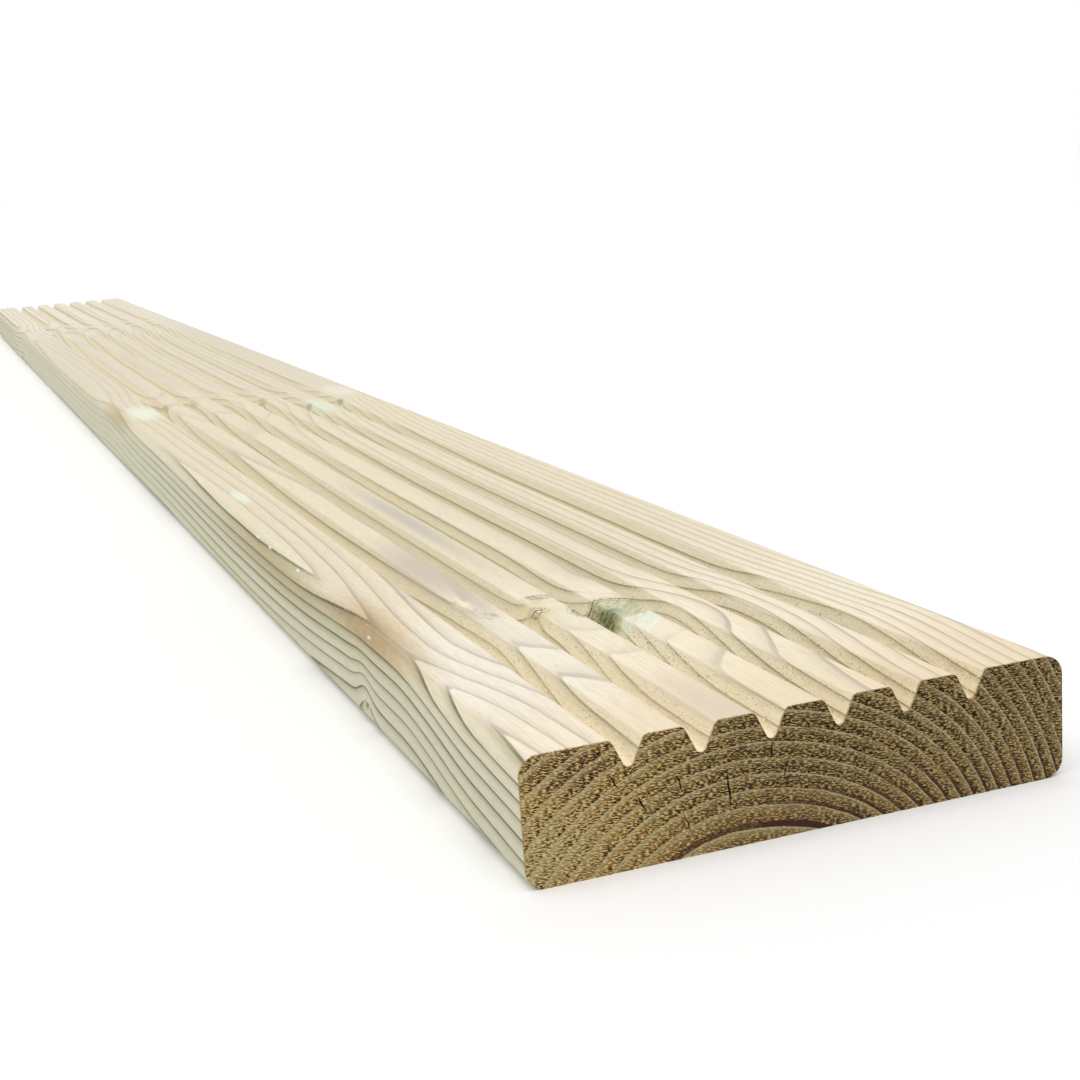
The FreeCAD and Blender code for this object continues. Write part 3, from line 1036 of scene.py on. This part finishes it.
# Painted glints: the resin specks and drops are laid bluish white, a painted highlight.
resin_glints = patch_total(tree, place, RESIN_GLINT_PATCHES) * specks.rise(0.63, 0.68)
resin_glints = resin_glints + patch_total(tree, place, [(drop_at, GLINT_DROP_SIZE, 0.7) for drop_at in GLINT_DROPS])
wood.lay(resin_glints * 0.9, (246, 252, 255))
fringe = (from_nearest_end(u) + (specks - 0.5) * 1.6).rise(0.8, 0.25)
wood.lay(fringe * 0.75, (158, 108, 56))
give_surface(tree, shader, wood, roughness=0.62, gloss=0.3, height=fine, strength=0.3, depth=0.3 * MM)
print("planed softwood has", len(tree.nodes), "nodes")

# %% [markdown]
# ## The sawn end
# Across the grain the soft spring wood soaks up the preservative and goes dark, while the hard autumn
# lines stay pale, so the end shows the rings the other way round. The saw crossed the board at a
# slight slope, so its marks are noises with long, low cells in a frame that is tilted by that slope. A
# second frame follows the rings, for stains that run along them.

# %% Sawn end grain: saw marks
SAW_SLOPE = 0.11
RING_RADIUS = 60.0

sawn = bpy.data.materials.new("sawn_end_grain")
tree, shader = shader_of(sawn)
growth = use_group(tree, rings, End=1.0)
place = growth.outputs["Place"]
phase, distance, around = [Field(tree, growth.outputs[label]) for label in ("Phase", "Distance", "Around")]
u, y, z = separate(tree, place)
sawn_level = combine(tree, u, y, z + y * SAW_SLOPE)
dashes = grain_noise(tree, sawn_level, (3.0, 3.0, 0.4), 2.0, 0.6)
fine = grain_noise(tree, sawn_level, (2.0, 1.05, 0.33), 1.0, 0.5)
scores = grain_noise(tree, sawn_level, (3.0, 11.0, 0.42), 1.0, 0.5)
along_ring = combine(tree, u, around * RING_RADIUS, distance)
patchy = grain_noise(tree, along_ring, (3.0, 12.0, 5.0), 2.0)
beads = grain_noise(tree, along_ring, (3.0, 3.6, 3.5), 0.0)
broad = grain_noise(tree, place, (9.0, 9.0, 5.0), 2.0)

# %% [markdown]
# The soft wood comes first, golden on the left and darker on the right, in the middle and in broad
# patches, bleached at the lower left and stained at the upper left. The hard bands are laid over it,
# with an edge that the saw has made ragged.

# %% Sawn end grain: soft and hard wood
leftward = y.rise(5.0, -55.0)
end_wood = Coat(tree, (142, 117, 70))
end_wood.lay(leftward, (184, 152, 92))
end_wood.lay(y.rise(20.0, 62.0) * z.rise(6.0, 22.0) * 0.6, (100, 87, 54))
end_wood.lay(around.bell(0.55) * z.rise(4.0, 13.0) * 0.6, (108, 88, 52))
end_wood.lay(broad.rise(0.45, 0.7) * 0.35, (112, 86, 46))
lower_middle = around.bell(0.7) * z.rise(12.0, 5.0)
end_wood.lay(lower_middle * 0.8, (120, 92, 54))
bleached = patch_amount(tree, place, (0.0, -67.0, 8.0), (20.0, 16.0, 12.0), "Soft")
end_wood.lay(bleached * 0.5, (194, 180, 130))
stained = patch_amount(tree, place, (0.0, -60.0, 27.0), (20.0, 16.0, 7.0))
end_wood.lay(stained * 0.85, (110, 76, 50))

ragged_phase = phase + (fine - 0.5) * 0.16
ring_end = phase.rise(1.0, 0.97)
hard = ragged_phase.rise(0.5, 0.86) * ring_end
hard_colour = Coat(tree, (142, 128, 92))
hard_colour.lay(leftward, (176, 165, 122))
end_wood.lay(hard * (patchy * 0.6 + 0.4), hard_colour)

# %% [markdown]
# The teeth tear the soft wood into short level dashes, deepest in the early wood, and bright fibre
# ends stand out between them. Just outside some hard lines the wood is soaked dark: low on the right,
# round the innermost ring, and in beads on the left. The pale edge of each hard line comes last, and
# then the walls of the checks, laid dark as painted shade inside the cracks.

# %% Sawn end grain: stain, dashes and specks
beads = beads.rise(0.56, 0.61) * phase.rise(0.26, 0.16)
beads = beads * leftward * z.rise(2.0, 6.0) * y.rise(-70.0, -60.0)
end_wood.lay(beads * 0.85, (84, 56, 42))
scores = scores.rise(0.43, 0.34) * (y + 2.0).bell(46.0) * z.rise(7.0, 13.0)
end_wood.lay(scores * 0.85, (36, 26, 12))
soft = (1.0 - hard * 0.35) * (1.0 - lower_middle * 0.45) * (phase.rise(0.8, 0.2) * 0.42 + 0.58)
end_wood.lay(dashes.rise(0.53, 0.45) * soft * (1.0 - leftward * 0.5), (30, 21, 9))
end_wood.lay(fine.rise(0.49, 0.4) * soft * 0.95, (36, 25, 11))
end_wood.lay(fine.rise(0.54, 0.62) * (leftward * 0.35 + 0.5), (222, 192, 128))

low_right = z.rise(13.0, 5.0) * around.rise(0.08, 0.3)
innermost = distance.rise(40.0, 38.5) * around.rise(-0.72, -0.5) * around.rise(0.8, 0.6)
soaked = low_right * patchy.rise(0.22, 0.44) + innermost * (patchy * 0.5 + 0.6)
end_wood.lay(ragged_phase.rise(0.32, 0.18) * soaked * 0.85, (66, 40, 32))
hard_edge = ragged_phase.rise(0.87, 0.93) * ring_end * patchy.rise(0.3, 0.55)
end_wood.lay(hard_edge * 0.7, (182, 170, 130))
# Painted shade: the check walls, more than 0.3 mm in from the end, are laid nearly black.
check_painted_shade = from_nearest_end(u).rise(0.3, 0.7)
end_wood.lay(check_painted_shade * 0.9, (34, 25, 14))
saw_marks = dashes * 0.5 + fine * 0.5
give_surface(
    tree, shader, end_wood, roughness=0.85, gloss=0.2, height=saw_marks, strength=0.6, depth=0.5 * MM
)
print("sawn end grain has", len(tree.nodes), "nodes")

# %% [markdown]
# ## Into the frame
# The drawn board stands for the plain CAD node, which is hidden, moves with its body and takes the two
# materials made above.

# %% Finish
board.data.materials.append(planed)
board.data.materials.append(sawn)
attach(board, "root")
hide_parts("decking_board")
